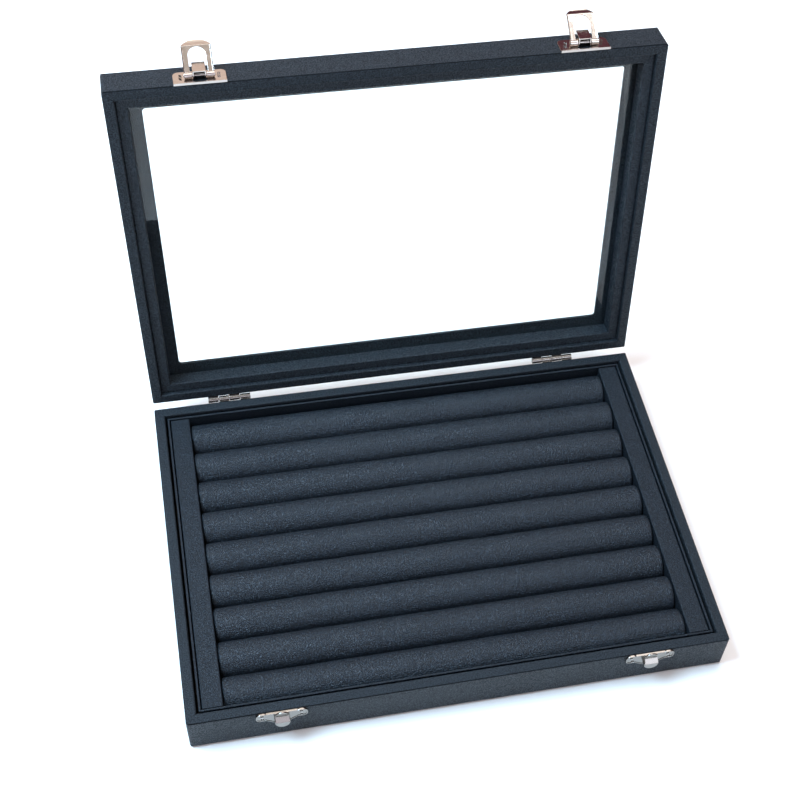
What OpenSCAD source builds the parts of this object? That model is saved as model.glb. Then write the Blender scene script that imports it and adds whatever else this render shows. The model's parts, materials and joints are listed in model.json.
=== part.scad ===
// Ring display box: a shallow wrapped case with a glazed hinged lid, drawn open as it stands on a table.
// The lid is laid out closed, then turned about its hinge pins. X runs left to right, Y front to back,
// Z up, and the origin is the middle of the underside.

/* [Case] */
// Length of the case, left to right
case_l = 280; // [220:5:360]
// Width of the case, front to back
case_w = 200; // [150:5:260]
// Height of the base up to the seam
base_h = 25.2; // [22:0.2:40]
// Thickness of the wrapped side rails
wall_t = 5.6; // [4.8:0.2:8]
// Radius of the standing outer corners
corner_r = 1.5; // [0.5:0.1:3]
// Radius of the outer edges along the bottom and the top
edge_r = 1.4; // [0.4:0.1:2.4]
// Softened edges of both rims at the seam
rim_r = 0.8; // [0.2:0.1:1.4]
// Thickness of the board that closes the base
board_t = 3; // [2:0.1:5]
// Thickness of the cover sheet glued under the base
cover_t = 0.6; // [0.4:0.1:1]
// Distance of the cover sheet from the outer faces
cover_inset = 1.6; // [1:0.1:5]
// Fitting gap round the base board and the glass
fit_gap = 0.3; // [0.1:0.05:0.6]

/* [Tray] */
// Gap between the tray and the rails
tray_gap = 1.2; // [0.5:0.1:2]
// Thickness of the tray walls
tray_wall_t = 1.2; // [0.8:0.1:2]
// Thickness of the tray floor
tray_floor_t = 1.4; // [0.8:0.1:2.5]
// Top of the tray walls below the rim
tray_drop = 1.2; // [0.4:0.1:2.5]
// Width of the block at each end of the rolls
block_w = 10.5; // [6:0.5:25]
// Top of the end blocks below the rim
block_drop = 1.7; // [0.6:0.1:4]
// Gap between an end block and the tray walls
block_gap = 0.5; // [0.1:0.1:1]
// Softened upper edges of the end blocks
block_r = 0.7; // [0.2:0.1:1.5]

/* [Ring rolls] */
// Top of the rolls below the rim
roll_drop = 2.2; // [1:0.1:5]
// Gap between one roll and the next
roll_gap = 0.05; // [0.02:0.01:0.6]
// Gap between a roll and the end blocks
roll_end_gap = 0.3; // [0.1:0.1:0.8]
// Width of the flat foot under each roll
roll_foot_w = 13; // [6:0.5:13.5]

/* [Lid] */
// Height of the lid above the seam
lid_h = 18.3; // [15:0.1:30]
// Thickness of the top frame
frame_t = 5.5; // [4:0.1:8]
// Width of the top frame, from the outer face to the window
frame_w = 17.5; // [15:0.5:30]
// Thickness of the thin land round the window
land_t = 1.5; // [0.8:0.1:2.5]
// Width of the sloping bevel outside the land
bevel_w = 5; // [2:0.5:9]
// Radius of the window corners
window_r = 1.8; // [0.5:0.1:5]
// Thickness of the glass
glass_t = 2; // [1.5:0.1:3]
// Width of the lining strips that hold the glass
lining_w = 5.6; // [3:0.2:7]
// Depth of the lining strips below the lid rim
lining_drop = 2.4; // [1:0.1:4]
// Softened edges of the lining strips
lining_r = 0.7; // [0.2:0.1:1.2]
// Gap that the hinges leave at the shut seam
seam_gap = 0.1; // [0.05:0.05:0.4]
// Angle at which the open lid rests on its hinges
open_angle = 98; // [90:1:110]

/* [Hinges] */
// Distance of the left hinge from the left end
hinge_left_inset = 43; // [20:0.5:70]
// Distance of the right hinge from the right end
hinge_right_inset = 45.5; // [20:0.5:70]
// Length of a hinge along its pin
hinge_w = 24; // [18:1:36]
// Height of each hinge leaf
hinge_leaf_h = 11; // [9:0.5:14]
// Thickness of the hinge leaves
hinge_leaf_t = 0.6; // [0.4:0.05:0.9]
// Diameter of the hinge barrel
knuckle_d = 3.3; // [3:0.1:4.5]
// Gap between the barrel and the back faces
knuckle_off = 0.3; // [0.2:0.05:0.5]
// Gap between one knuckle and the next
knuckle_gap = 0.3; // [0.1:0.05:0.5]
// Diameter of the hinge pins
hinge_pin_d = 1.4; // [1:0.1:1.8]
// Distance of the hinge screws from the pin
hinge_screw_drop = 7; // [5.5:0.1:7.2]
// Spacing of the two screws in a leaf
hinge_screw_pitch = 14; // [10:0.5:14]

/* [Latches] */
// Distance of the left latch from the left end
latch_left_inset = 46.7; // [20:0.1:70]
// Distance of the right latch from the right end
latch_right_inset = 43.2; // [20:0.1:70]
// Width of a latch plate
latch_w = 25.4; // [24:0.2:32]
// Height of a latch plate
latch_h = 11.2; // [11.2:0.1:14]
// Thickness of the plate metal
plate_t = 0.8; // [0.5:0.05:1]
// Radius of the far corners of a latch plate
latch_r = 2.8; // [0.5:0.1:4]
// How far the turned lower edge of a latch plate stands proud
latch_edge_out = 1.3; // [1:0.05:1.4]
// Height of that turned edge
latch_edge_h = 0.9; // [0.6:0.1:1.4]
// Spacing of the two screws in a latch plate
latch_screw_pitch = 18.4; // [18.2:0.1:19.6]
// Height of the latch screws above the seam
latch_screw_up = 6.2; // [5:0.1:7]
// Diameter of the latch pins
latch_pin_d = 1.5; // [1:0.1:1.7]
// Height of the latch pins above the seam
latch_pin_up = 4.4; // [4.2:0.1:5]
// Distance of the latch pins from the front face
latch_pin_out = 2.45; // [2.45:0.05:2.8]
// Width of the bridge over a latch pin
bridge_w = 6.4; // [5:0.1:6.5]
// Wall thickness of the bridge
bridge_t = 0.6; // [0.4:0.05:0.7]
// Height of the bridge at its open mouth
bridge_low = 5.2; // [4.6:0.1:5.5]
// Height of the bridge at its closed end
bridge_high = 6.1; // [5.6:0.1:7]
// Closed end of the bridge above the seam
bridge_far = 10.9; // [10:0.1:11.1]
// Width of the opening under the bridge mouth
notch_w = 6.8; // [6.6:0.1:9]
// Thickness of the flat spring under the bridge
spring_t = 0.3; // [0.2:0.02:0.34]

/* [Levers] */
// Width of a lever
lever_w = 14.4; // [13.4:0.1:15.6]
// Thickness of the lever metal
lever_t = 0.7; // [0.5:0.05:0.8]
// Diameter of the rolled eyes of a lever
eye_d = 3; // [2.6:0.05:3.1]
// Width of metal left between the arch and the bend
lever_web = 0.5; // [0.4:0.1:2]
// How far the finger lip reaches past the bend
lip_len = 4.1; // [3:0.1:4.6]
// Radius to which the lip is rolled
lip_roll = 6.9; // [6.5:0.1:9]
// Angle of the lip at the bend
lip_angle = 50; // [40:1:60]
// How far a lever swings from shut to fully open
lever_swing = 140; // [90:1:145]
// Width of the turned side edges beside the lip
turned_w = 0.6; // [0.5:0.1:1.5]

/* [Catches] */
// Width of a catch plate
catch_w = 25.8; // [25:0.2:32]
// Height of the ends of a catch plate
catch_end_h = 6.4; // [6:0.1:7]
// Height of a catch plate beside its boss
catch_mid_h = 9.2; // [8:0.1:10]
// Radius of the ends of a catch plate
catch_r = 2.4; // [1:0.1:2.8]
// Gap between a catch plate and the seam
catch_drop = 0.3; // [0.1:0.1:0.6]
// Width of the raised border of a catch plate
border_w = 0.6; // [0.3:0.05:0.9]
// Height of the raised border
border_h = 0.25; // [0.1:0.05:0.4]
// Spacing of the two screws in a catch plate
catch_screw_pitch = 19.6; // [19:0.1:20]
// Diameter of the round boss of a catch
boss_d = 7.8; // [6.5:0.1:8.6]
// Distance of the boss centre below the seam
boss_down = 5.2; // [5:0.1:6.4]
// How far the boss stands out of the front face
boss_out = 4.5; // [3.8:0.1:5]
// Width of the sloping face on the boss
ramp_w = 6.9; // [5:0.1:7.4]
// Radius of the tongue that laps over the seam
tongue_r = 3.6; // [3:0.1:4]
// How far the tongue rises above the seam
tongue_up = 1.6; // [0.8:0.1:2.2]
// Thickness of the tongue
tongue_t = 0.8; // [0.5:0.05:1]
// Clearance of the lever arch round the boss
arch_gap = 0.4; // [0.3:0.05:0.7]

/* [Screws] */
// Diameter of the screw heads
screw_head_d = 2.9; // [2.4:0.1:3.2]
// Height of the screw heads
screw_head_h = 0.9; // [0.6:0.1:1.2]
// Diameter of the screw shanks
screw_d = 1.6; // [1.2:0.1:1.8]
// Length of a screw below its head
screw_len = 4.6; // [3:0.1:5]

/* [Hidden] */
$fn = 48;

// Small overlap that carries a cut cleanly past a face
CUT = 0.1;
// Radial running clearance of pins in their bores
RUN = 0.05;
// Degrees between the points of a rolled or bent edge, and the angle that the lip flattens out to
ROLL_STEP = 4;
BEND_STEP = 10;
LIP_END = 2;
// Straight part of the lip's sides, before its curved end
LIP_SIDE = 0.5;
ROLLS = 9;
KNUCKLES = 4;
LEATHERETTE = [0.16, 0.19, 0.23];
TRAY_WRAP = [0.20, 0.24, 0.28];
ROLL_WRAP = [0.24, 0.29, 0.34];
NICKEL = [0.78, 0.75, 0.72];
STEEL = [0.68, 0.67, 0.65];
BOARD = [0.45, 0.36, 0.26];
GLASS = [0.75, 0.85, 0.85, 0.35];

// Turns that carry the front side of a ring of four rails to each side
FRONT = 0;
RIGHT = 90;
BACK = 180;
LEFT = -90;

// Levels in the base
floor_z = cover_t + board_t;
roll_floor_z = floor_z + tray_floor_t;
inner_l = case_l - 2 * wall_t;
inner_w = case_w - 2 * wall_t;

// The tray and what lies in it
tray_l = inner_l - 2 * tray_gap;
tray_w = inner_w - 2 * tray_gap;
tray_in_l = tray_l - 2 * tray_wall_t;
tray_in_w = tray_w - 2 * tray_wall_t;
block_h = base_h - block_drop - roll_floor_z;
block_inner_x = tray_in_l / 2 - block_gap - block_w;
roll_l = 2 * (block_inner_x - roll_end_gap);
roll_pitch = tray_in_w / ROLLS;
roll_r = (roll_pitch - roll_gap) / 2;
roll_top_z = base_h - roll_drop;
roll_axis_z = roll_top_z - roll_r;

// The lid, laid out closed on the seam
lid_rail_h = lid_h - frame_t;
glass_up = lid_rail_h - glass_t;
window_l = case_l - 2 * frame_w;
window_w = case_w - 2 * frame_w;
lining_h = glass_up - lining_drop;

// Hardware places
hinge_off = knuckle_d / 2 + knuckle_off;
hinge_y = case_w / 2 + hinge_off;
knuckle_l = (hinge_w - (KNUCKLES - 1) * knuckle_gap) / KNUCKLES;
HINGE_X = [-(case_l / 2 - hinge_left_inset), case_l / 2 - hinge_right_inset];
LATCH_X = [-(case_l / 2 - latch_left_inset), case_l / 2 - latch_right_inset];
catch_screw_down = catch_drop + catch_end_h / 2;
notch_up = latch_pin_up - 0.1;
bridge_near = latch_pin_up - latch_pin_d / 2 - bridge_t;
tongue_out = latch_edge_out + 0.2 + tongue_t;
arch_r = boss_d / 2 + arch_gap;
arch_down = latch_pin_up + boss_down + 0.1;
bend_down = arch_down + arch_r + lever_web;
eye_in = bridge_w / 2 + 0.3;

// Corner waste of a square edge that is rounded to radius r, with the corner at the origin
module corner_waste(r) {
    difference() {
        translate([-CUT, -CUT]) square(r + CUT);
        translate([r, r]) circle(r);
    }
}

// Rectangle centred on the origin with four rounded corners
module soft_rect(l, w, r) {
    square([l - 2 * r, w], center = true);
    square([l, w - 2 * r], center = true);
    for (x = [-1, 1], y = [-1, 1]) {
        translate([x * (l / 2 - r), y * (w / 2 - r)]) circle(r);
    }
}

// Upright section of a rail: the outer face at u = 0, the seat at v = 0
module rail_section(t, h, r_low_out, r_low_in, r_high_out, r_high_in) {
    difference() {
        square([t, h]);
        if (r_low_out > 0) corner_waste(r_low_out);
        if (r_low_in > 0) translate([t, 0]) mirror([1, 0]) corner_waste(r_low_in);
        if (r_high_out > 0) translate([0, h]) mirror([0, 1]) corner_waste(r_high_out);
        if (r_high_in > 0) translate([t, h]) rotate(180) corner_waste(r_high_in);
    }
}

// One mitred side of a ring l long and w wide, t thick and h high, with the section given as a child
module ring_side(turn, l, w, t, h) {
    along = abs(turn) == 90 ? w : l;
    across = abs(turn) == 90 ? l : w;
    rotate([0, 0, turn]) {
        intersection() {
            translate([0, -across / 2, 0]) rotate([90, 0, 90])
                linear_extrude(along, center = true) children();
            linear_extrude(h) polygon([
                [-along / 2, -across / 2],
                [along / 2, -across / 2],
                [along / 2 - t, t - across / 2],
                [t - along / 2, t - across / 2],
            ]);
        }
    }
}

// Local frame on the front face at the seam: X right, Y up, Z out of the face
module on_front(x) {
    translate([x, -case_w / 2, base_h]) rotate([90, 0, 0]) children();
}

// The same on the back face, with Z out of that face
module on_back(x) {
    translate([x, case_w / 2, base_h]) rotate([90, 0, 180]) children();
}

// Carries the closed lid back about the hinge pins to its open rest
module open_lid() {
    translate([0, hinge_y, base_h]) rotate([-open_angle, 0, 0]) translate([0, -hinge_y, -base_h]) children();
}

// Bar across X with the section drawn in Y and Z
module across_x(w) {
    rotate([90, 0, 90]) linear_extrude(w, center = true) children();
}

// Domed cross-head screw that stands on z = 0 and runs down into the wall
module screw() {
    dome_r = (screw_head_d * screw_head_d / 4 + screw_head_h * screw_head_h) / (2 * screw_head_h);
    slot = screw_head_d / 6;
    difference() {
        intersection() {
            translate([0, 0, screw_head_h - dome_r]) sphere(dome_r);
            cylinder(d = screw_head_d + CUT, h = screw_head_h + CUT);
        }
        for (turn = [0, 90]) {
            rotate(turn) translate([0, 0, screw_head_h])
                cube([screw_head_d * 0.6, slot, screw_head_h], center = true);
        }
    }
    translate([0, 0, -screw_len]) cylinder(d = screw_d, h = screw_len);
}

// Pilot hole of one screw, from z = 0 down
module screw_hole() {
    translate([0, 0, -screw_len - CUT]) cylinder(d = screw_d + RUN, h = screw_len + 2 * CUT);
}

// Places its children at the two screws of a plate, up from the seam
module at_pair(pitch, up, out) {
    for (side = [-1, 1]) {
        translate([side * pitch / 2, up, out]) children();
    }
}

module at_latch_screws(out) {
    for (x = LATCH_X) {
        on_front(x) at_pair(latch_screw_pitch, latch_screw_up, out) children();
    }
}

module at_catch_screws(out) {
    for (x = LATCH_X) {
        on_front(x) at_pair(catch_screw_pitch, -catch_screw_down, out) children();
    }
}

module at_hinge_screws(way, out) {
    for (x = HINGE_X) {
        on_back(x) at_pair(hinge_screw_pitch, way * hinge_screw_drop, out) children();
    }
}

module bottom_cover() {
    color(LEATHERETTE) linear_extrude(cover_t)
        soft_rect(case_l - 2 * cover_inset, case_w - 2 * cover_inset, corner_r);
}

module base_board() {
    color(BOARD) translate([0, 0, cover_t]) linear_extrude(board_t)
        square([inner_l - 2 * fit_gap, inner_w - 2 * fit_gap], center = true);
}

module base_rail(turn) {
    h = base_h - cover_t;
    color(LEATHERETTE) difference() {
        translate([0, 0, cover_t]) intersection() {
            ring_side(turn, case_l, case_w, wall_t, h) rail_section(wall_t, h, edge_r, 0, rim_r, rim_r);
            linear_extrude(h) soft_rect(case_l, case_w, corner_r);
        }
        if (turn == FRONT) at_catch_screws(plate_t) screw_hole();
        if (turn == BACK) at_hinge_screws(-1, hinge_leaf_t) screw_hole();
    }
}

module tray_floor() {
    color(TRAY_WRAP) translate([0, 0, floor_z]) linear_extrude(tray_floor_t)
        square([tray_in_l, tray_in_w], center = true);
}

module tray_wall(turn) {
    h = base_h - tray_drop - floor_z;
    r = tray_wall_t / 3;
    color(TRAY_WRAP) translate([0, 0, floor_z])
        ring_side(turn, tray_l, tray_w, tray_wall_t, h) rail_section(tray_wall_t, h, 0, 0, r, r);
}

module end_block(side) {
    color(TRAY_WRAP) translate([side * (block_inner_x + block_w / 2), 0, roll_floor_z])
        rotate([90, 0, 0]) linear_extrude(tray_in_w - 2 * block_gap, center = true)
            translate([-block_w / 2, 0]) rail_section(block_w, block_h, 0, 0, block_r, block_r);
}

// Round foam bar wrapped in leatherette, cut flat where it is glued down
module ring_roll(i) {
    color(ROLL_WRAP) translate([0, (i - (ROLLS + 1) / 2) * roll_pitch, 0]) across_x(roll_l) {
        intersection() {
            translate([0, roll_axis_z]) circle(roll_r, $fn = 96);
            translate([-roll_r, roll_floor_z]) square([2 * roll_r, 2 * roll_r + roll_top_z]);
        }
        translate([-roll_foot_w / 2, roll_floor_z]) square([roll_foot_w, max(roll_axis_z - roll_floor_z, 1)]);
    }
}

// Outline of a catch plate, drawn in by i all round
module catch_outline(i) {
    low = -catch_drop - catch_mid_h + i;
    lobe = -catch_drop - catch_end_h + i;
    slope_in = boss_d / 2;
    slope_out = catch_screw_pitch / 2 - screw_head_d / 2 - border_w;
    for (side = [-1, 1]) {
        translate([side * (catch_w / 2 - catch_end_h / 2), -catch_drop - catch_end_h / 2])
            soft_rect(catch_end_h - 2 * i, catch_end_h - 2 * i, catch_r - i);
    }
    polygon([
        [-slope_out, -catch_drop - i],
        [slope_out, -catch_drop - i],
        [slope_out, lobe],
        [slope_in, low],
        [-slope_in, low],
        [-slope_out, lobe],
    ]);
}

// The boss with its sloping face and the tongue that laps over the lid's latch plate
module catch_boss() {
    tongue_c = tongue_up - tongue_r;
    ramp_top = tongue_c;
    ramp_low = -boss_down + 0.9;
    bevel = 0.5;
    difference() {
        translate([0, -boss_down, 0]) rotate_extrude() polygon([
            [0, 0],
            [boss_d / 2, 0],
            [boss_d / 2, boss_out - bevel],
            [boss_d / 2 - bevel, boss_out],
            [0, boss_out],
        ]);
        across_x(2 * boss_d) polygon([
            [ramp_top, tongue_out],
            [ramp_low, boss_out],
            [ramp_low, boss_out + CUT],
            [boss_d, boss_out + CUT],
            [boss_d, tongue_out],
        ]);
    }
    across_x(ramp_w) polygon([
        [ramp_top, 0],
        [ramp_top, tongue_out],
        [ramp_low, boss_out],
        [-boss_down, boss_out],
        [-boss_down, 0],
    ]);
    difference() {
        translate([0, tongue_c, 0]) cylinder(r = tongue_r, h = tongue_out);
        translate([-boss_d, -catch_drop, -CUT]) cube([2 * boss_d, boss_d, tongue_out - tongue_t + CUT]);
    }
}

module catch(x) {
    color(NICKEL) on_front(x) {
        difference() {
            union() {
                linear_extrude(plate_t) catch_outline(0);
                translate([0, 0, plate_t]) linear_extrude(border_h) difference() {
                    catch_outline(0);
                    catch_outline(border_w);
                }
            }
            at_pair(catch_screw_pitch, -catch_screw_down, plate_t) screw_hole();
        }
        catch_boss();
    }
}

module catch_screws() {
    color(STEEL) at_catch_screws(plate_t) screw();
}

// Middle of knuckle i along the pin
function knuckle_x(i) = -hinge_w / 2 + knuckle_l / 2 + i * (knuckle_l + knuckle_gap);

// A leaf with every second knuckle. way is -1 for the base and 1 for the lid, first its first knuckle
module hinge_leaf(x, way, first) {
    relief = knuckle_d / 2 + knuckle_gap;
    color(NICKEL) on_back(x) difference() {
        union() {
            translate([-hinge_w / 2, way > 0 ? 0 : -hinge_leaf_h, 0])
                cube([hinge_w, hinge_leaf_h, hinge_leaf_t]);
            for (i = [first : 2 : KNUCKLES - 1]) {
                translate([knuckle_x(i), 0, hinge_off]) rotate([0, 90, 0])
                    cylinder(d = knuckle_d, h = knuckle_l, center = true);
            }
        }
        for (i = [1 - first : 2 : KNUCKLES - 1]) {
            translate([knuckle_x(i), 0, 0])
                cube([knuckle_l + 2 * knuckle_gap, 2 * relief, 4 * hinge_off], center = true);
        }
        translate([0, 0, hinge_off]) rotate([0, 90, 0])
            cylinder(d = hinge_pin_d + 2 * RUN, h = hinge_w + 2 * CUT, center = true);
        at_pair(hinge_screw_pitch, way * hinge_screw_drop, hinge_leaf_t) screw_hole();
    }
}

module hinge_pin(x) {
    color(STEEL) on_back(x) translate([0, 0, hinge_off]) rotate([0, 90, 0])
        cylinder(d = hinge_pin_d, h = hinge_w, center = true);
}

module hinge_base_screws() {
    color(STEEL) at_hinge_screws(-1, hinge_leaf_t) screw();
}

module hinge_lid_screws() {
    color(STEEL) open_lid() at_hinge_screws(1, hinge_leaf_t) screw();
}

module lid_rail(turn) {
    h = lid_rail_h - seam_gap;
    color(LEATHERETTE) open_lid() difference() {
        translate([0, 0, base_h + seam_gap]) intersection() {
            ring_side(turn, case_l, case_w, wall_t, h) rail_section(wall_t, h, rim_r, rim_r, 0, 0);
            linear_extrude(h) soft_rect(case_l, case_w, corner_r);
        }
        if (turn == FRONT) at_latch_screws(plate_t) screw_hole();
        if (turn == BACK) at_hinge_screws(1, hinge_leaf_t) screw_hole();
    }
}

// Flat frame with softened outer edges and a bevel that falls to the thin land round the window
module lid_top_frame() {
    rise = frame_t - land_t;
    far = bevel_w * (rise + CUT) / rise;
    color(LEATHERETTE) open_lid() translate([0, 0, base_h + lid_rail_h]) difference() {
        intersection() {
            linear_extrude(frame_t) soft_rect(case_l, case_w, corner_r);
            rotate([90, 0, 0]) linear_extrude(case_w, center = true)
                translate([-case_l / 2, 0]) rail_section(case_l, frame_t, 0, 0, edge_r, edge_r);
            across_x(case_l) translate([-case_w / 2, 0]) rail_section(case_w, frame_t, 0, 0, edge_r, edge_r);
        }
        translate([0, 0, -CUT]) linear_extrude(frame_t) soft_rect(window_l, window_w, window_r);
        intersection() {
            rotate([90, 0, 0]) linear_extrude(case_w, center = true) polygon([
                [-window_l / 2, land_t],
                [window_l / 2, land_t],
                [window_l / 2 + far, frame_t + CUT],
                [-window_l / 2 - far, frame_t + CUT],
            ]);
            across_x(case_l) polygon([
                [-window_w / 2, land_t],
                [window_w / 2, land_t],
                [window_w / 2 + far, frame_t + CUT],
                [-window_w / 2 - far, frame_t + CUT],
            ]);
        }
    }
}

module glass_pane() {
    color(GLASS) open_lid() translate([0, 0, base_h + glass_up]) linear_extrude(glass_t)
        square([inner_l - 2 * fit_gap, inner_w - 2 * fit_gap], center = true);
}

module lid_lining(turn) {
    color(LEATHERETTE) open_lid() translate([0, 0, base_h + lining_drop])
        ring_side(turn, inner_l, inner_w, lining_w, lining_h)
            rail_section(lining_w, lining_h, lining_r, lining_r, 0, 0);
}

// Side view of the bridge, drawn in by i under its roof and behind its closed end
module bridge_side(i) {
    polygon([
        [bridge_near - i, -i],
        [bridge_near - i, bridge_low - i],
        [bridge_far - bridge_t, bridge_high - i],
        [bridge_far - i, bridge_high - bridge_t - i],
        [bridge_far - i, -i],
    ]);
}

module latch_plate(x) {
    inner = bridge_w - 2 * bridge_t;
    color(NICKEL) open_lid() on_front(x) difference() {
        union() {
            linear_extrude(plate_t) difference() {
                union() {
                    translate([0, latch_h / 2]) soft_rect(latch_w, latch_h, latch_r);
                    translate([-latch_w / 2, 0]) square([latch_w, latch_h / 2]);
                }
                translate([-notch_w / 2, latch_edge_h]) square([notch_w, notch_up - latch_edge_h]);
            }
            translate([-latch_w / 2, 0, 0]) cube([latch_w, latch_edge_h, latch_edge_out]);
            across_x(bridge_w) bridge_side(0);
        }
        intersection() {
            across_x(inner) bridge_side(bridge_t);
            translate([-inner, latch_edge_h, -1]) cube([2 * inner, latch_h, bridge_high + 1]);
        }
        translate([0, latch_pin_up, latch_pin_out]) rotate([0, 90, 0])
            cylinder(d = latch_pin_d + 2 * RUN, h = latch_w, center = true);
        at_pair(latch_screw_pitch, latch_screw_up, plate_t) screw_hole();
    }
}

module latch_screws() {
    color(STEEL) open_lid() at_latch_screws(plate_t) screw();
}

module latch_pin(x) {
    color(STEEL) open_lid() on_front(x) translate([0, latch_pin_up, latch_pin_out]) rotate([0, 90, 0])
        cylinder(d = latch_pin_d, h = lever_w + 0.6, center = true);
}

// Flat spring that lies under the bridge roof, over the pin, and turns down at the closed end
module latch_spring(x) {
    top = latch_pin_out + latch_pin_d / 2 + RUN;
    near = latch_pin_up - latch_pin_d / 2;
    far = bridge_far - bridge_t - 0.2;
    knee = far - spring_t;
    foot = plate_t + 0.1;
    w = bridge_w - 2 * bridge_t - 0.6;
    color(STEEL) open_lid() on_front(x) across_x(w) polygon([
        [near, top],
        [knee - 1, top],
        [knee, top - 1],
        [knee, foot],
        [far, foot],
        [far, top - 1 + spring_t / 2],
        [knee - 1 + spring_t / 2, top + spring_t],
        [near, top + spring_t],
    ]);
}

// Side view of a lever's metal: flat from the pin to the bend, then the lip, rolled steeply at first
module lever_side() {
    half = lever_t / 2;
    roll = [-bend_down - lip_roll * sin(lip_angle), -lip_roll * cos(lip_angle)];
    polygon(concat(
        [[0, half], [half * tan(lip_angle / 2) - bend_down, half]],
        [for (a = [lip_angle - ROLL_STEP : -ROLL_STEP : LIP_END])
            roll + (lip_roll + half) * [sin(a), cos(a)]],
        [for (a = [LIP_END : ROLL_STEP : lip_angle - ROLL_STEP / 2])
            roll + (lip_roll - half) * [sin(a), cos(a)]],
        [for (a = [lip_angle : -BEND_STEP : 0]) [-bend_down, 0] - half * [sin(a), cos(a)]],
        [[0, -half]]
    ));
}

// Outline of a lever laid flat: two legs, the arch that takes the boss, and the curved end of the lip
module lever_outline() {
    rise = lip_len - LIP_SIDE;
    end_r = (lever_w * lever_w / 4 + rise * rise) / (2 * rise);
    leg_to = lever_w / 2 - turned_w + CUT;
    difference() {
        translate([-leg_to, -bend_down]) square([2 * leg_to, bend_down]);
        translate([0, -arch_down]) circle(arch_r);
        translate([-arch_r, -arch_down]) square([2 * arch_r, arch_down + CUT]);
    }
    translate([0, -bend_down]) intersection() {
        translate([0, end_r - lip_len]) circle(end_r);
        translate([-lever_w / 2, -lip_len]) square([lever_w, lip_len + CUT]);
    }
}

// Turned edge of a lever leg, leaning towards the case
module turned_edge() {
    half = lever_t / 2;
    drop = 0.8 * turned_w;
    foot = eye_d / 2 - turned_w;
    translate([0, -foot, 0]) rotate([90, 0, 0]) linear_extrude(bend_down - foot - 2 * CUT) polygon([
        [lever_w / 2 - turned_w, -half],
        [lever_w / 2, -half - drop],
        [lever_w / 2, half - drop],
        [lever_w / 2 - turned_w, half],
    ]);
}

// Lever hanging from its pin at the origin, in one stamping with its two rolled eyes
module lever() {
    difference() {
        union() {
            intersection() {
                across_x(lever_w + 1) lever_side();
                translate([0, 0, -lever_t]) linear_extrude(lip_roll) lever_outline();
            }
            for (side = [0, 1]) {
                mirror([side, 0, 0]) turned_edge();
                mirror([side, 0, 0]) translate([eye_in, 0, 0]) rotate([0, 90, 0])
                    cylinder(d = eye_d, h = lever_w / 2 - eye_in);
            }
        }
        rotate([0, 90, 0]) cylinder(d = latch_pin_d + 2 * RUN, h = lever_w + 2 * CUT, center = true);
    }
}

// Swung right out, as it stands while the lid is open
module latch_lever(x) {
    color(NICKEL) open_lid() on_front(x) translate([0, latch_pin_up, latch_pin_out])
        rotate([-lever_swing, 0, 0]) lever();
}

bottom_cover();
base_board();
base_rail(FRONT);  // base_rail_front
base_rail(BACK);  // base_rail_back
base_rail(LEFT);  // base_rail_left
base_rail(RIGHT);  // base_rail_right
tray_floor();
tray_wall(FRONT);  // tray_wall_front
tray_wall(BACK);  // tray_wall_back
tray_wall(LEFT);  // tray_wall_left
tray_wall(RIGHT);  // tray_wall_right
end_block(-1);  // end_block_left
end_block(1);  // end_block_right
for (i = [1 : ROLLS]) {
    ring_roll(i);
}
catch(LATCH_X[0]);  // catch_left
catch(LATCH_X[1]);  // catch_right
catch_screws();
hinge_leaf(HINGE_X[0], -1, 0);  // hinge_base_leaf_left
hinge_leaf(HINGE_X[1], -1, 0);  // hinge_base_leaf_right
hinge_base_screws();
hinge_pin(HINGE_X[0]);  // hinge_pin_left
hinge_pin(HINGE_X[1]);  // hinge_pin_right
open_lid() hinge_leaf(HINGE_X[0], 1, 1);  // hinge_lid_leaf_left
open_lid() hinge_leaf(HINGE_X[1], 1, 1);  // hinge_lid_leaf_right
hinge_lid_screws();
lid_rail(FRONT);  // lid_rail_front
lid_rail(BACK);  // lid_rail_back
lid_rail(LEFT);  // lid_rail_left
lid_rail(RIGHT);  // lid_rail_right
lid_top_frame();
glass_pane();
lid_lining(FRONT);  // lid_lining_front
lid_lining(BACK);  // lid_lining_back
lid_lining(LEFT);  // lid_lining_left
lid_lining(RIGHT);  // lid_lining_right
latch_plate(LATCH_X[0]);  // latch_plate_left
latch_plate(LATCH_X[1]);  // latch_plate_right
latch_screws();
latch_pin(LATCH_X[0]);  // latch_pin_left
latch_pin(LATCH_X[1]);  // latch_pin_right
latch_spring(LATCH_X[0]);  // latch_spring_left
latch_spring(LATCH_X[1]);  // latch_spring_right
latch_lever(LATCH_X[0]);  // latch_lever_left
latch_lever(LATCH_X[1]);  // latch_lever_right
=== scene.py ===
import json
import math

import bmesh
import bpy
import numpy as np
from mathutils import Matrix, Vector

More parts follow.
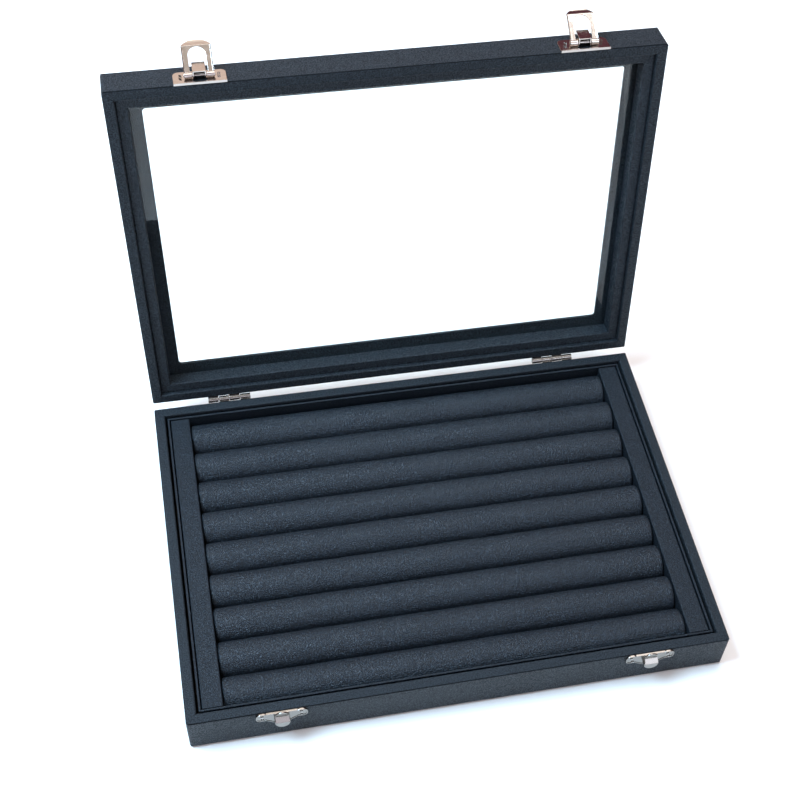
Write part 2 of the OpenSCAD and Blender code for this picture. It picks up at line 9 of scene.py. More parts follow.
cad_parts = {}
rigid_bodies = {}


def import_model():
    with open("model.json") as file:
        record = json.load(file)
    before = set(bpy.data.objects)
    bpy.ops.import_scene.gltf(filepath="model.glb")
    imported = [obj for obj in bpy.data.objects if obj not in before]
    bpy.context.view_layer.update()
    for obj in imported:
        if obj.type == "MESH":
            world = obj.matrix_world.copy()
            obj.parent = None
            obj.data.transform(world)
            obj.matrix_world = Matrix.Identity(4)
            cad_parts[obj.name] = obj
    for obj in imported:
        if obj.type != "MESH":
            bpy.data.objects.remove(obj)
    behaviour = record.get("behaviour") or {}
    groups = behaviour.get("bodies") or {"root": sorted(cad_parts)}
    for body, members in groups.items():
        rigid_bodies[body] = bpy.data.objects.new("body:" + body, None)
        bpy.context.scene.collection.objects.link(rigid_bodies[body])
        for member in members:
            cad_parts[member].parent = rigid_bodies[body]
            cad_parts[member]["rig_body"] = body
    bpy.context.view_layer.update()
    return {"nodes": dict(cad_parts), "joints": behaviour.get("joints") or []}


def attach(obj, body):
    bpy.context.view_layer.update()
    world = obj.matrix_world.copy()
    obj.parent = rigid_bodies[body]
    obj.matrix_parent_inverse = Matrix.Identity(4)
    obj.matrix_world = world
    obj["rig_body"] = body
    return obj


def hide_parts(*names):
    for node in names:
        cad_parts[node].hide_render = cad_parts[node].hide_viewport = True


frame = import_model()


# UNDERSIDE
# A fibreboard panel closes the base, and a sheet of black embossed paper is glued over it and over the lower
# edges of the rails. Both lie flat against what carries them, so the solids stay and only get their finishes.

def linear(code):
    """Turns an sRGB hex colour into linear red, green, blue and alpha."""
    parts = [int(code[i:i + 2], 16) / 255 for i in (1, 3, 5)]
    return tuple(c / 12.92 if c <= 0.04045 else ((c + 0.055) / 1.055) ** 2.4 for c in parts) + (1.0,)


def add(tree, kind, values=None, links=None, **settings):
    """Adds one node with its settings, its input values and its input links."""
    made = tree.nodes.new(kind)
    for name, value in settings.items():
        setattr(made, name, value)
    for name, value in (values or {}).items():
        made.inputs[name].default_value = value
    for name, source in (links or {}).items():
        tree.links.new(source, made.inputs[name])
    return made


def material(name):
    """A new material with an empty tree: returns the material and the tree."""
    made = bpy.data.materials.new(name)
    made.use_nodes = True
    made.node_tree.nodes.clear()
    return made, made.node_tree


def cells_per_metre(size_mm):
    """Texture scale for a pattern whose grains are size_mm across."""
    return 1000.0 / size_mm


def cover_paper():
    """Black bookbinding paper, matt, with a fine linen emboss that takes a dull sheen."""
    made, tree = material("black_embossed_paper")
    place = add(tree, "ShaderNodeTexCoord").outputs["Object"]
    fibre = add(tree, "ShaderNodeTexNoise", {"Scale": cells_per_metre(0.9), "Detail": 4.0}, {"Vector": place})
    threads = [
        add(tree, "ShaderNodeTexWave", {"Scale": cells_per_metre(1.1) / 6.2832, "Distortion": 0.6},
            {"Vector": place}, wave_type="BANDS", bands_direction=way).outputs["Fac"]
        for way in ("X", "Y")
    ]
    linen = add(tree, "ShaderNodeMath", None, {0: threads[0], 1: threads[1]}, operation="MAXIMUM").outputs[0]
    shade = add(tree, "ShaderNodeMix", {6: linear("#17191c"), 7: linear("#25282c")},
                {0: fibre.outputs["Fac"]}, data_type="RGBA").outputs[2]
    relief = add(tree, "ShaderNodeBump", {"Strength": 0.5, "Distance": 0.00006}, {"Height": linen})
    shader = add(tree, "ShaderNodeBsdfPrincipled", {"Roughness": 0.62, "IOR": 1.47},
                 {"Base Color": shade, "Normal": relief.outputs["Normal"]})
    add(tree, "ShaderNodeOutputMaterial", None, {"Surface": shader.outputs[0]})
    return made


def fibreboard():
    """Raw hardboard, brown and matt, with pressed fibres about a millimetre long."""
    made, tree = material("brown_fibreboard")
    place = add(tree, "ShaderNodeTexCoord").outputs["Object"]
    fibres = add(tree, "ShaderNodeTexNoise", {"Scale": cells_per_metre(1.2), "Detail": 6.0, "Distortion": 1.5},
                 {"Vector": place})
    shade = add(tree, "ShaderNodeMix", {6: linear("#6d5338"), 7: linear("#9b7d5a")},
                {0: fibres.outputs["Fac"]}, data_type="RGBA").outputs[2]
    relief = add(tree, "ShaderNodeBump", {"Strength": 0.4, "Distance": 0.0001}, {"Height": fibres.outputs["Fac"]})
    shader = add(tree, "ShaderNodeBsdfPrincipled", {"Roughness": 0.85, "IOR": 1.5},
                 {"Base Color": shade, "Normal": relief.outputs["Normal"]})
    add(tree, "ShaderNodeOutputMaterial", None, {"Surface": shader.outputs[0]})
    return made


def dress(node, finish):
    """Gives a CAD node its finish through its object's own material slots."""
    for place in frame["nodes"][node].material_slots:
        place.material = finish


dress("bottom_cover", cover_paper())
dress("base_board", fibreboard())


# BASE RAILS
# Four mitred fibreboard rails wrapped in black leatherette. The wrap is glued tight, so edges are softly round
# and each corner shows the fold as a fine mitre line across the rim, while it runs unbroken round the outside.

cloud_mm = 26.0


def leatherette(name, deep, pale, grain_mm, relief_mm, rough_low, rough_high, gloss):
    """Embossed PU leatherette on cloth: fine pebbles between creases, which break the light into small glints, over
    broad, faint clouds of handling. The real pebble is about 0.4 mm, and grain_mm draws it coarse enough to show in
    a picture of the whole box."""
    made, tree = material(name)
    place = add(tree, "ShaderNodeTexCoord").outputs["Object"]
    drift = add(tree, "ShaderNodeTexNoise", {"Scale": cells_per_metre(3 * grain_mm), "Detail": 2.0},
                {"Vector": place})
    pull = add(tree, "ShaderNodeVectorMath", {3: grain_mm / 1000}, {0: drift.outputs["Color"]}, operation="SCALE")
    pulled = add(tree, "ShaderNodeVectorMath", None, {0: place, 1: pull.outputs[0]}, operation="ADD").outputs[0]
    pebble = add(tree, "ShaderNodeTexVoronoi", {"Scale": cells_per_metre(grain_mm), "Randomness": 0.9},
                 {"Vector": pulled}, feature="DISTANCE_TO_EDGE")
    dome = add(tree, "ShaderNodeMapRange", {"From Min": 0.0, "From Max": 0.28}, {"Value": pebble.outputs["Distance"]},
               interpolation_type="SMOOTHSTEP").outputs["Result"]
    speck = add(tree, "ShaderNodeTexNoise", {"Scale": cells_per_metre(0.9 * grain_mm), "Detail": 1.0},
                {"Vector": place}).outputs["Fac"]
    cloud = add(tree, "ShaderNodeTexNoise", {"Scale": cells_per_metre(cloud_mm), "Detail": 3.0},
                {"Vector": place}).outputs["Fac"]
    height = add(tree, "ShaderNodeMath", None, {0: dome, 1: speck, 2: speck}, operation="MULTIPLY_ADD")
    tone = add(tree, "ShaderNodeMapRange", {"From Min": 0.38, "From Max": 0.62}, {"Value": speck}).outputs["Result"]
    worn = add(tree, "ShaderNodeMapRange", {"From Min": 0.3, "From Max": 0.7, "To Min": 0.35, "To Max": 0.65},
               {"Value": cloud}).outputs["Result"]
    mixed = add(tree, "ShaderNodeMix", {0: 0.12}, {2: tone, 3: worn}).outputs[0]
    shade = add(tree, "ShaderNodeMix", {6: linear(deep), 7: linear(pale)}, {0: mixed}, data_type="RGBA").outputs[2]
    rough = add(tree, "ShaderNodeMapRange", {"From Min": 0.2, "From Max": 0.8, "To Min": rough_high,
                                             "To Max": rough_low}, {"Value": tone}).outputs["Result"]
    relief = add(tree, "ShaderNodeBump", {"Strength": 1.0, "Distance": relief_mm / 1000},
                 {"Height": height.outputs[0]})
    shader = add(tree, "ShaderNodeBsdfPrincipled",
                 {"IOR": 1.5, "Specular IOR Level": gloss, "Specular Tint": linear("#f0f6ff")},
                 {"Base Color": shade, "Roughness": rough, "Normal": relief.outputs["Normal"]})
    add(tree, "ShaderNodeOutputMaterial", None, {"Surface": shader.outputs[0]})
    return made


def evaluated(made):
    """Bakes a piece's modifiers into a plain mesh."""
    graph = bpy.context.evaluated_depsgraph_get()
    mesh = bpy.data.meshes.new_from_object(made.evaluated_get(graph), preserve_all_data_layers=True, depsgraph=graph)
    made.modifiers.clear()
    made.data = mesh
    mesh.name = made.name


weld_distance = 2e-6
flat_degrees, hard_edge_degrees, crease_degrees = 0.4, 32, 34


def skin(node, name, finish, soft_mm, unbroken=None, pressed=None):
    """A merged copy of a CAD node with its hard edges rounded by soft_mm, which shows in the node's place.
    Edges whose middle passes the test unbroken, in millimetres, stay as they are, and rounded edges whose middle
    and normal pass the test pressed get a second, near-black finish: a dark line of painted shade."""
    dress(node, finish)
    source = frame["nodes"][node]
    mesh = bpy.data.meshes.new(name)
    form = bmesh.new()
    form.from_mesh(source.data)
    bmesh.ops.remove_doubles(form, verts=form.verts, dist=weld_distance)
    bmesh.ops.dissolve_limit(form, angle_limit=math.radians(flat_degrees), verts=form.verts, edges=form.edges)
    weight = form.edges.layers.float.new("bevel_weight_edge")
    for edge in form.edges:
        if len(edge.link_faces) == 2 and edge.calc_face_angle() > math.radians(hard_edge_degrees):
            middle = (edge.verts[0].co + edge.verts[1].co) * 500
            edge[weight] = 0.0 if unbroken and unbroken(middle) else 1.0
    form.to_mesh(mesh)
    form.free()
    for layer in ("custom_normal", "sharp_edge", "sharp_face"):
        if layer in mesh.attributes:
            mesh.attributes.remove(mesh.attributes[layer])
    made = bpy.data.objects.new(name, mesh)
    bpy.context.scene.collection.objects.link(made)
    if soft_mm > 0:
        bevel = made.modifiers.new("soft_edges", "BEVEL")
        bevel.width = soft_mm / 1000
        bevel.segments = 2
        bevel.limit_method = "WEIGHT"
        bevel.use_clamp_overlap = False
        evaluated(made)
    smooth(made, crease_degrees)
    made.data.materials.clear()
    made.data.materials.append(finish)
    # Faces chosen by the test pressed take a near-black finish: a dark line of painted shade.
    if pressed:
        made.data.materials.append(shade_line_leather)
        for face in made.data.polygons:
            face.material_index = int(pressed(face.center * 1000, face.normal))
    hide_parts(node)
    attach(made, source["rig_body"])


def smooth(made, degrees):
    """Smooth shading with creases above an angle, weighted so that flat faces stay flat beside small rounds."""
    made.data.shade_smooth()
    made.data.set_sharp_from_angle(angle=math.radians(degrees))
    weighted = made.modifiers.new("flat_faces", "WEIGHTED_NORMAL")
    weighted.keep_sharp = True
    evaluated(made)


case_half = Vector((140.0, 100.0))
base_top = 25.2
corner_reach = 1.6
outside_band, rim_band = 0.4, 0.5
case_leather = leatherette("case_leatherette", "#090c0f", "#262e35", 0.70, 0.18, 0.42, 0.62, 0.24)
# A near-black, dull leatherette for the rounded outer edges, laid there as a dark line of painted shade.
shade_line_leather = leatherette("painted_shade_line_leatherette", "#020304", "#0b0e11", 0.95, 0.10, 0.60, 0.75, 0.10)


def outside_corner(point):
    """True on the standing outer corners, where the wrap runs round without a seam."""
    return abs(point.x) > case_half.x - corner_reach and abs(point.y) > case_half.y - corner_reach


def outer_edge(point, normal):
    """True on a rounded edge between a flat face and the outer sides, where a dark line of painted shade is laid."""
    outside = max(abs(point.x) - case_half.x, abs(point.y) - case_half.y) > -outside_band
    return outside and 0.15 < abs(normal.z) < 0.99


def base_shade_line(point, normal):
    """True along the outer top edge of the base, where the painted shade line runs."""
    return point.z > base_top - rim_band and outer_edge(point, normal)


# The rounded outer top edge of each rail carries a dark line of painted shade.
for side in ("front", "back", "left", "right"):
    skin(f"base_rail_{side}", f"base_rail_{side}_wrap", case_leather, 0.2, outside_corner,
         base_shade_line)


# TRAY
# A lift-in insert: a card floor and four thin card walls, wrapped in leatherette and mitred at the corners,
# and a wrapped block glued in at each end of the rolls. The block edges are lightly rounded by the wrap.

tray_leather = leatherette("tray_leatherette", "#05080b", "#1b242d", 0.72, 0.20, 0.40, 0.62, 0.30)
dress("tray_floor", tray_leather)
for side in ("front", "back", "left", "right"):
    skin(f"tray_wall_{side}", f"tray_wall_{side}_wrap", tray_leather, 0.08)
for side in ("left", "right"):
    skin(f"end_block_{side}", f"end_block_{side}_wrap", tray_leather, 0.15)


# RING ROLLS
# Nine round foam bars wrapped in thin soft leatherette and glued side by side to the tray floor. The foam
# gives a little, so the wrap swells and dips by about a tenth of a millimetre, and the ends are turned in.

roll_axis_z = 12.80
roll_radius = 10.10
roll_floor_z = 5.0
roll_half = 120.7
roll_pitch = 20.444
end_round = 1.6
ends_clear = 3.5
rings, ring_points, end_rings = 112, 72, 6
waves = ((71, 0.05), (43, 0.04), (27, 0.03), (15, 0.016))
roll_leather = leatherette("roll_leatherette", "#020304", "#1a242e", 0.85, 0.30, 0.37, 0.58, 0.47)


def roll(name, y_middle, seed):
    """One wrapped foam bar: rings of points along X, lifted and dipped by a few long slow waves, each with its
    length and depth in millimetres."""
    draw = np.random.default_rng(seed)
    edge = end_round * (1 - np.cos(np.linspace(0, math.pi / 2, end_rings)))
    plain = roll_half - ends_clear
    along = np.concatenate([-roll_half + edge, np.linspace(-plain, plain, rings), (roll_half - edge)[::-1]])
    inset = np.clip(end_round - (roll_half - np.abs(along)), 0, end_round)
    radius = roll_radius - end_round + np.sqrt(end_round ** 2 - inset ** 2)
    turn = np.linspace(0, 2 * math.pi, ring_points, endpoint=False)
    x, a = np.meshgrid(along, turn, indexing="ij")
    swell = np.zeros_like(x)
    for length, depth in waves:
        lean, phase = draw.uniform(-1.5, 1.5), draw.uniform(0, 2 * math.pi)
        swell += depth * np.sin(2 * math.pi * x / length + lean * np.sin(a) + phase)
    r = radius[:, None] + swell
    y = y_middle + r * np.sin(a)
    z = np.maximum(roll_axis_z + r * np.cos(a), roll_floor_z)
    points = np.stack([x, y, z], axis=-1).reshape(-1, 3) / 1000
    form = bmesh.new()
    verts = [form.verts.new(p) for p in points]
    n = len(turn)
    for i in range(len(along) - 1):
        for j in range(n):
            k = (j + 1) % n
            form.faces.new((verts[i * n + j], verts[i * n + k], verts[(i + 1) * n + k], verts[(i + 1) * n + j]))
    form.faces.new(verts[:n])
    form.faces.new(verts[-n:])
    bmesh.ops.remove_doubles(form, verts=form.verts, dist=1e-7)
    bmesh.ops.recalc_face_normals(form, faces=form.faces)
    mesh = bpy.data.meshes.new(name)
    form.to_mesh(mesh)
    form.free()
    made = bpy.data.objects.new(name, mesh)
    bpy.context.scene.collection.objects.link(made)
    mesh.materials.append(roll_leather)
    smooth(made, 50)
    return made


for number in range(1, 10):
    bar = roll(f"ring_roll_{number}_wrap", (number - 5) * roll_pitch, 40 + number)
    dress(f"ring_roll_{number}", roll_leather)
    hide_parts(f"ring_roll_{number}")
    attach(bar, "base")


# CATCHES
# Two die-cast catch plates with a bead round the edge, a round boss with a sloping face that guides the lever,
# and a tongue that laps over the seam. They are barrel-plated in nickel over the cast skin, duller than the steel.

def nickel(name, deep, pale, rough_low, rough_high):
    """Nickel plate: a warm mirror, broken by fine barrel scuffs and by a thin haze where it was handled."""
    made, tree = material(name)
    place = add(tree, "ShaderNodeTexCoord").outputs["Object"]
    haze = add(tree, "ShaderNodeTexNoise", {"Scale": cells_per_metre(2.4), "Detail": 4.0}, {"Vector": place})
    scuff = add(tree, "ShaderNodeTexNoise", {"Scale": cells_per_metre(0.5), "Detail": 3.0, "Roughness": 0.7},
                {"Vector": place})
    shade = add(tree, "ShaderNodeMix", {6: linear(deep), 7: linear(pale)},
                {0: haze.outputs["Fac"]}, data_type="RGBA").outputs[2]
    gloss = add(tree, "ShaderNodeMapRange", {"From Min": 0.3, "From Max": 0.7, "To Min": rough_low,
                                             "To Max": rough_high}, {"Value": haze.outputs["Fac"]}).outputs["Result"]
    relief = add(tree, "ShaderNodeBump", {"Strength": 0.25, "Distance": 0.00002}, {"Height": scuff.outputs["Fac"]})
    shader = add(tree, "ShaderNodeBsdfPrincipled", {"Metallic": 1.0},
                 {"Base Color": shade, "Roughness": gloss, "Normal": relief.outputs["Normal"]})
    add(tree, "ShaderNodeOutputMaterial", None, {"Surface": shader.outputs[0]})
    return made


bright_nickel = nickel("bright_nickel_plate", "#b0a7a1", "#c8c0ba", 0.10, 0.18)
cast_nickel = nickel("cast_nickel_plate", "#716c67", "#89837d", 0.14, 0.24)
for side in ("left", "right"):
    skin(f"catch_{side}", f"catch_{side}_cast", cast_nickel, 0.07)


# HINGES
# Two small butt hinges pressed from thin steel with a thin, dull nickel plate, each with its knuckles on a steel
# pin. The base leaf and the lid leaf are screwed to the back faces, so in front only the barrel shows in the gap.

hinge_nickel = nickel("hinge_nickel_plate", "#6e6a66", "#8b8682", 0.18, 0.30)
pin_steel = nickel("plated_steel", "#96918d", "#b3ada8", 0.16, 0.26)
for side in ("left", "right"):
    skin(f"hinge_base_leaf_{side}", f"hinge_base_leaf_{side}_pressed", hinge_nickel, 0.06)
    skin(f"hinge_lid_leaf_{side}", f"hinge_lid_leaf_{side}_pressed", hinge_nickel, 0.06)
    skin(f"hinge_pin_{side}", f"hinge_pin_{side}_turned", pin_steel, 0.08)


# LID
# Four mitred rails and a thin top frame with a bevelled window, wrapped like the base. The wrap covers the joint
# between rails and frame, so no line shows outside, only the folds across the rim at the four corners.

lid_hinge = next(joint for joint in frame["joints"] if joint["name"] == "lid_hinge")
pin_place = Vector(lid_hinge["pos_m"]) * 1000
lid_open = math.radians(lid_hinge["range_deg"][1])


def shut(point):
    """Where a point of the open lid, in millimetres, lies when the lid is shut."""
    return Matrix.Rotation(lid_open, 3, "X") @ (point - pin_place) + pin_place


lid_rail_h = 12.8
rail_top = base_top + lid_rail_h


def lid_unbroken(point):
    """True on the lid's standing corners and where rails and top frame meet under the wrap."""
    flat = shut(point)
    return outside_corner(flat) or abs(flat.z - rail_top) < 0.1


def lid_shade_line(point, normal):
    """True along the lid's outer edges, at its rim and round its top, where the painted shade line runs."""
    return outer_edge(shut(point), Matrix.Rotation(lid_open, 3, "X") @ normal)


# The lid's rounded outer edges, at its rim and round its top, carry a dark line of painted shade.
for side in ("front", "back", "left", "right"):
    skin(f"lid_rail_{side}", f"lid_rail_{side}_wrap", case_leather, 0.2, lid_unbroken,
         lid_shade_line)
skin("lid_top_frame", "lid_top_frame_wrap", case_leather, 0.2, lid_unbroken, lid_shade_line)


# GLASS AND LINING
# A clear float glass pane lies against the underside of the top frame. Four wrapped strips, mitred at the corners
# and glued to the rails, hold it there, with their lower edges set back from the rim.

def clear_glass():
    """Clear float glass, 2 mm thick, with a faint green body. Lamps shine through it without a hard shadow."""
    made, tree = material("clear_float_glass")
    body = add(tree, "ShaderNodeBsdfPrincipled", {"Base Color": linear("#f6fbf9"), "Roughness": 0.0, "IOR": 1.5,
                                                  "Transmission Weight": 1.0})
    open_way = add(tree, "ShaderNodeBsdfTransparent", {"Color": linear("#f3f8f6")})
    path = add(tree, "ShaderNodeLightPath")
    both = add(tree, "ShaderNodeMixShader", None,
               {0: path.outputs["Is Shadow Ray"], 1: body.outputs[0], 2: open_way.outputs[0]})
    add(tree, "ShaderNodeOutputMaterial", None, {"Surface": both.outputs[0]})
    return made


dress("glass_pane", clear_glass())
lining_leather = leatherette("lining_leatherette", "#070b0e", "#252e36", 0.74, 0.20, 0.40, 0.64, 0.34)
for side in ("front", "back", "left", "right"):
    skin(f"lid_lining_{side}", f"lid_lining_{side}_wrap", lining_leather, 0.12)


# LATCH PLATES
# Two pressed steel plates on the lid's front face with a turned lower edge and a bridge over the pin. A flat
# spring lies under each bridge and presses on the lever's eyes. All are nickel-plated before assembly.

for side in ("left", "right"):
    skin(f"latch_plate_{side}", f"latch_plate_{side}_pressed", bright_nickel, 0.10)
    skin(f"latch_pin_{side}", f"latch_pin_{side}_turned", pin_steel, 0.10)
    skin(f"latch_spring_{side}", f"latch_spring_{side}_flat", pin_steel, 0.05)


# LEVERS
# Each lever is one stamping, here swung right out: two legs rolled into eyes round the pin, a round arch that drops
# over the boss, side edges turned down towards the bend, and a curved lip for the finger.

for side in ("left", "right"):
    skin(f"latch_lever_{side}", f"latch_lever_{side}_stamped", bright_nickel, 0.09)


# SCREWS
# Small domed cross-head wood screws, nickel-plated, two in each plate and leaf. Each one ends its last turn at
# its own angle, as hand-driven screws do.

screw_head_d = 2.9
screw_head_h = 0.9
screw_shank_d = 1.6
screw_shank_l = 4.6
recess_arm = 0.50
recess_bar = 0.12


def screw_tree(finish):
    """Geometry Nodes tree: a domed cross-head screw on each point, standing along its attribute named way."""
    tree = bpy.data.node_groups.new("domed_cross_screw", "GeometryNodeTree")
    tree.interface.new_socket("Seats", in_out="INPUT", socket_type="NodeSocketGeometry")
    for name in ("Head Diameter", "Head Height", "Shank Diameter", "Shank Length"):
        tree.interface.new_socket(name, in_out="INPUT", socket_type="NodeSocketFloat")
    tree.interface.new_socket("Seed", in_out="INPUT", socket_type="NodeSocketInt")
    tree.interface.new_socket("Screws", in_out="OUTPUT", socket_type="NodeSocketGeometry")
    given = add(tree, "NodeGroupInput").outputs
    head_d, head_h = given["Head Diameter"], given["Head Height"]
    half = add(tree, "ShaderNodeMath", {1: 0.5}, {0: head_d}, operation="MULTIPLY").outputs[0]
    half_2 = add(tree, "ShaderNodeMath", None, {0: half, 1: half}, operation="MULTIPLY").outputs[0]
    rise_2 = add(tree, "ShaderNodeMath", None, {0: head_h, 1: head_h}, operation="MULTIPLY").outputs[0]
    both = add(tree, "ShaderNodeMath", None, {0: half_2, 1: rise_2}, operation="ADD").outputs[0]
    twice = add(tree, "ShaderNodeMath", {1: 2.0}, {0: head_h}, operation="MULTIPLY").outputs[0]
    dome_r = add(tree, "ShaderNodeMath", None, {0: both, 1: twice}, operation="DIVIDE").outputs[0]
    drop = add(tree, "ShaderNodeMath", None, {0: head_h, 1: dome_r}, operation="SUBTRACT").outputs[0]
    down = add(tree, "ShaderNodeCombineXYZ", None, {"Z": drop}).outputs[0]
    ball = add(tree, "GeometryNodeMeshUVSphere", {"Segments": 40, "Rings": 48}, {"Radius": dome_r}).outputs["Mesh"]
    ball = add(tree, "GeometryNodeTransform", None, {"Geometry": ball, "Translation": down}).outputs[0]
    rim = add(tree, "GeometryNodeMeshCylinder", {"Vertices": 40}, {"Radius": half, "Depth": twice}).outputs["Mesh"]
    lift = add(tree, "ShaderNodeCombineXYZ", None, {"Z": head_h}).outputs[0]
    rim = add(tree, "GeometryNodeTransform", None, {"Geometry": rim, "Translation": lift}).outputs[0]
    dome = add(tree, "GeometryNodeMeshBoolean", None, {"Mesh 2": ball}, operation="INTERSECT")
    tree.links.new(rim, dome.inputs["Mesh 2"])
    arm = add(tree, "ShaderNodeMath", {1: recess_arm}, {0: head_d}, operation="MULTIPLY").outputs[0]
    bar = add(tree, "ShaderNodeMath", {1: recess_bar}, {0: head_d}, operation="MULTIPLY").outputs[0]
    cross = add(tree, "GeometryNodeMeshBoolean", None, {"Mesh 1": dome.outputs["Mesh"]}, operation="DIFFERENCE")
    for sizes in ({"X": arm, "Y": bar, "Z": head_h}, {"X": bar, "Y": arm, "Z": head_h}):
        size = add(tree, "ShaderNodeCombineXYZ", None, sizes).outputs[0]
        cut = add(tree, "GeometryNodeMeshCube", None, {"Size": size}).outputs["Mesh"]
        cut = add(tree, "GeometryNodeTransform", None, {"Geometry": cut, "Translation": lift}).outputs[0]
        tree.links.new(cut, cross.inputs["Mesh 2"])
    shank_r = add(tree, "ShaderNodeMath", {1: 0.5}, {0: given["Shank Diameter"]}, operation="MULTIPLY").outputs[0]
    shank = add(tree, "GeometryNodeMeshCylinder", {"Vertices": 24},
                {"Radius": shank_r, "Depth": given["Shank Length"]}).outputs["Mesh"]
    sunk = add(tree, "ShaderNodeMath", {1: -0.5}, {0: given["Shank Length"]}, operation="MULTIPLY").outputs[0]
    sink = add(tree, "ShaderNodeCombineXYZ", None, {"Z": sunk}).outputs[0]
    shank = add(tree, "GeometryNodeTransform", None, {"Geometry": shank, "Translation": sink}).outputs[0]
    whole = add(tree, "GeometryNodeJoinGeometry", None, {"Geometry": cross.outputs["Mesh"]})
    tree.links.new(shank, whole.inputs["Geometry"])
    way = add(tree, "GeometryNodeInputNamedAttribute", {"Name": "way"}, data_type="FLOAT_VECTOR").outputs[0]
    stand = add(tree, "FunctionNodeAlignRotationToVector", None, {"Vector": way}, axis="Z").outputs[0]
    last = add(tree, "FunctionNodeRandomValue", {2: 0.0, 3: math.pi / 2}, {"Seed": given["Seed"]},
               data_type="FLOAT").outputs[1]
    spin = add(tree, "FunctionNodeAxisAngleToRotation", {"Axis": (0, 0, 1)}, {"Angle": last}).outputs[0]
    turned = add(tree, "FunctionNodeRotateRotation", None, {"Rotation": stand, "Rotate By": spin},
                 rotation_space="LOCAL").outputs[0]
    placed = add(tree, "GeometryNodeInstanceOnPoints", None,
                 {"Points": given["Seats"], "Instance": whole.outputs[0], "Rotation": turned}).outputs[0]
    real = add(tree, "GeometryNodeRealizeInstances", None, {"Geometry": placed}).outputs[0]
    plated = add(tree, "GeometryNodeSetMaterial", {"Material": finish}, {"Geometry": real}).outputs[0]
    add(tree, "NodeGroupOutput", None, {"Screws": plated})
    return tree


screws = screw_tree(pin_steel)


def screw_set(node, name, seats, seed):
    """Screws on seats, each a place and a direction at rest in millimetres, as one plain mesh."""
    mesh = bpy.data.meshes.new(name)
    mesh.from_pydata([place / 1000 for place, _ in seats], [], [])
    way = mesh.attributes.new("way", "FLOAT_VECTOR", "POINT")
    way.data.foreach_set("vector", [c for _, direction in seats for c in direction])
    made = bpy.data.objects.new(name, mesh)
    bpy.context.scene.collection.objects.link(made)
    body = frame["nodes"][node]["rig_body"]
    grown = made.modifiers.new("screws", "NODES")
    grown.node_group = screws
    sizes = {"Head Diameter": screw_head_d, "Head Height": screw_head_h, "Shank Diameter": screw_shank_d,
             "Shank Length": screw_shank_l}
    for item in screws.interface.items_tree:
        if item.in_out == "INPUT" and item.name in sizes:
            grown[item.identifier] = sizes[item.name] / 1000
        elif item.name == "Seed":
            grown[item.identifier] = seed
    evaluated(made)
    smooth(made, 30)
    dress(node, pin_steel)
    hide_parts(node)
    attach(made, body)


def opened(point):
    """Where a point of the shut lid, in millimetres, lies in the open rest pose."""
    return Matrix.Rotation(-lid_open, 3, "X") @ (point - pin_place) + pin_place


latch_x = (-93.3, 96.8)
hinge_x = (-97.0, 94.5)
plate_face = -case_half.y - 0.8
leaf_face = case_half.y + 0.6
front, rear = Vector((0, -1, 0)), Vector((0, 1, 0))
lid_front, lid_rear = (Matrix.Rotation(-lid_open, 3, "X") @ way for way in (front, rear))


def seats(middles, half_pitch, face, above_seam):
    """Screw places on the shut box, two beside each middle."""
    return [Vector((x + side * half_pitch, face, base_top + above_seam)) for x in middles for side in (-1, 1)]


screw_set("catch_screws", "catch_screw_set",
          [(seat, front) for seat in seats(latch_x, 9.8, plate_face, -3.5)], 3)
screw_set("latch_screws", "latch_screw_set",
          [(opened(seat), lid_front) for seat in seats(latch_x, 9.2, plate_face, 6.2)], 5)
screw_set("hinge_base_screws", "hinge_base_screw_set",
          [(seat, rear) for seat in seats(hinge_x, 7.0, leaf_face, -7.0)], 8)
screw_set("hinge_lid_screws", "hinge_lid_screw_set",
          [(opened(seat), lid_rear) for seat in seats(hinge_x, 7.0, leaf_face, 7.0)], 13)


# FLOOR, LIGHT AND CAMERA
# The box stands on a plain white sweep under three soft boxes: a cool one high on the left, one overhead and a weak
# one low at the front. The metal mirrors pale and dark parts of the room. The camera stands in front of the box, a
# little to the left and well above, looking down into the open base.

def white_sweep():
    """Matt white board, with a trace of fibre so that it isn't dead flat."""
    made, tree = material("matt_white_board")
    place = add(tree, "ShaderNodeTexCoord").outputs["Object"]
    fibre = add(tree, "ShaderNodeTexNoise", {"Scale": 40.0, "Detail": 3.0}, {"Vector": place})
    shade = add(tree, "ShaderNodeMix", {6: linear("#fcfcfb"), 7: linear("#ffffff")},
                {0: fibre.outputs["Fac"]}, data_type="RGBA").outputs[2]
    shader = add(tree, "ShaderNodeBsdfPrincipled", {"Roughness": 0.9}, {"Base Color": shade})
    add(tree, "ShaderNodeOutputMaterial", None, {"Surface": shader.outputs[0]})
    return made


floor_half, floor_z = 4.0, -0.0001
floor_mesh = bpy.data.meshes.new("floor")
floor_mesh.from_pydata([(x * floor_half, y * floor_half, floor_z) for x, y in ((-1, -1), (1, -1), (1, 1), (-1, 1))],
                       [], [(0, 1, 2, 3)])
floor_mesh.materials.append(white_sweep())
floor = bpy.data.objects.new("floor", floor_mesh)
bpy.context.scene.collection.objects.link(floor)

middle = Vector((0.0, 0.02, 0.06))
for name, place, size, power, tint in (
    ("high_left_box", (-0.66, 0.05, 1.2), 0.6, 20.0, (0.86, 1.26, 1.60)),
    ("overhead_box", (0.30, 0.38, 1.5), 0.9, 14.0, (0.72, 0.72, 0.74)),
    ("low_left_box", (-0.6, -1.4, 1.0), 0.9, 1.0, (0.56, 0.75, 0.92)),
):
    lamp = bpy.data.lights.new(name, "AREA")
    lamp.size = size
    lamp.energy = power
    lamp.color = tint
    soft_box = bpy.data.objects.new(name, lamp)
    bpy.context.scene.collection.objects.link(soft_box)
    soft_box.location = place
    soft_box.rotation_euler = (middle - soft_box.location).to_track_quat("-Z", "Y").to_euler()


def towards(turn, rise):
    """Direction at turn degrees right of straight back and rise degrees above level."""
    turn, rise = math.radians(turn), math.radians(rise)
    return Vector((math.sin(turn) * math.cos(rise), math.cos(turn) * math.cos(rise), math.sin(rise)))


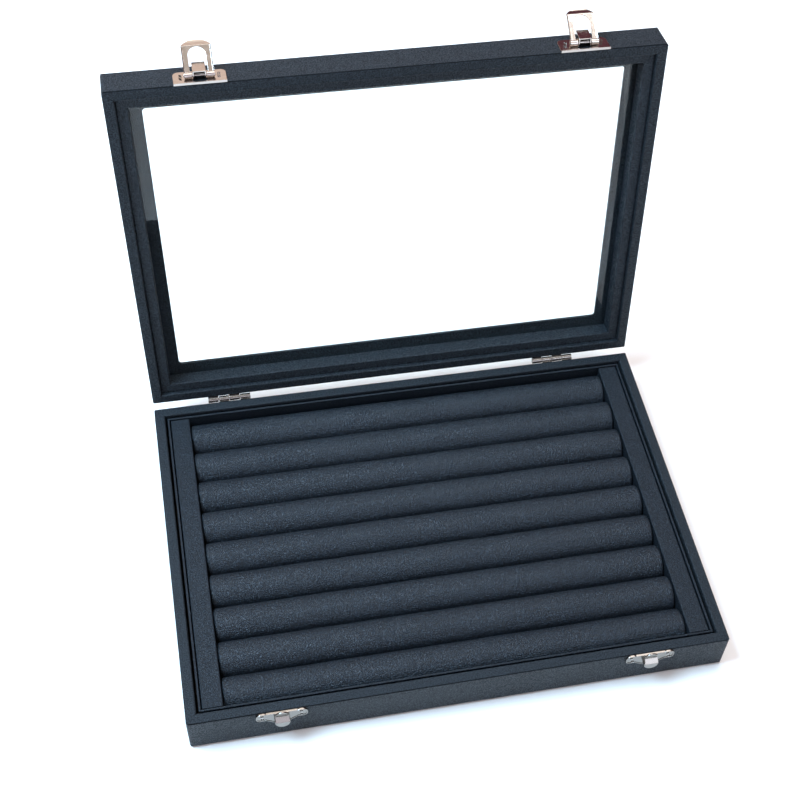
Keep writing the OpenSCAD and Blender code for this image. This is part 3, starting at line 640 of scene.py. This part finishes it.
world = bpy.data.worlds.new("studio")
world.use_nodes = True
room = world.node_tree
base_tone = linear("#9a8882")
patch_edge = 4
way = add(room, "ShaderNodeTexCoord").outputs["Generated"]
tone = None
for code, gain, turn, rise, reach in (
    ("#f0dccf", 1.4, -14, 28, 25),   # the left plate and the lid front mirror a beige wall
    ("#6e444f", 1.0, 31, 30, 21),    # the right plate mirrors a maroon one
    ("#fff6ea", 1.6, 3, 62, 16),     # the lips mirror a cream ceiling
    ("#e6dbd0", 1.0, 174, 78, 14),   # the left lever's legs
    ("#fff8f2", 1.05, 124, 70, 12),  # the right lever's legs
    ("#e8ecff", 3.4, 179, 30, 8),    # the slope of the left boss
    ("#e4eeff", 7.0, 160, 30, 9),    # the slope of the right boss
):
    near = add(room, "ShaderNodeVectorMath", {1: towards(turn, rise)}, {0: way},
               operation="DOT_PRODUCT").outputs["Value"]
    part = add(room, "ShaderNodeMapRange", {"From Min": math.cos(math.radians(reach + patch_edge)),
                                            "From Max": math.cos(math.radians(reach - patch_edge))},
               {"Value": near}, interpolation_type="SMOOTHSTEP").outputs["Result"]
    bright = [gain * c for c in linear(code)]
    blend = add(room, "ShaderNodeMix", {6: base_tone, 7: bright}, {0: part}, data_type="RGBA")
    if tone:
        room.links.new(tone, blend.inputs[6])
    tone = blend.outputs[2]
seen = add(room, "ShaderNodeLightPath").outputs["Is Camera Ray"]
backdrop = add(room, "ShaderNodeMix", {7: linear("#f1f0ee")}, {0: seen, 6: tone}, data_type="RGBA").outputs[2]
room.links.new(backdrop, room.nodes["Background"].inputs["Color"])
bpy.context.scene.world = world
bpy.context.scene.view_settings.view_transform = "Standard"

lens = bpy.data.cameras.new("photo_camera")
lens.sensor_width = 36.0
lens.lens = 63.737
lens.shift_x = -0.05995
lens.shift_y = 0.06475
lens.clip_start, lens.clip_end = 0.02, 30.0
camera = bpy.data.objects.new("photo_camera", lens)
bpy.context.scene.collection.objects.link(camera)
right, down, ahead = (Vector(v) for v in (
    (0.978694, -0.198803, 0.051340), (-0.12804, -0.78638, -0.60433), (0.160516, 0.584883, -0.795077)))
camera.matrix_world = Matrix.Translation((-0.108684, -0.423774, 0.660365)) @ Matrix(
    (right, -down, -ahead)).transposed().to_4x4()
bpy.context.scene.camera = camera
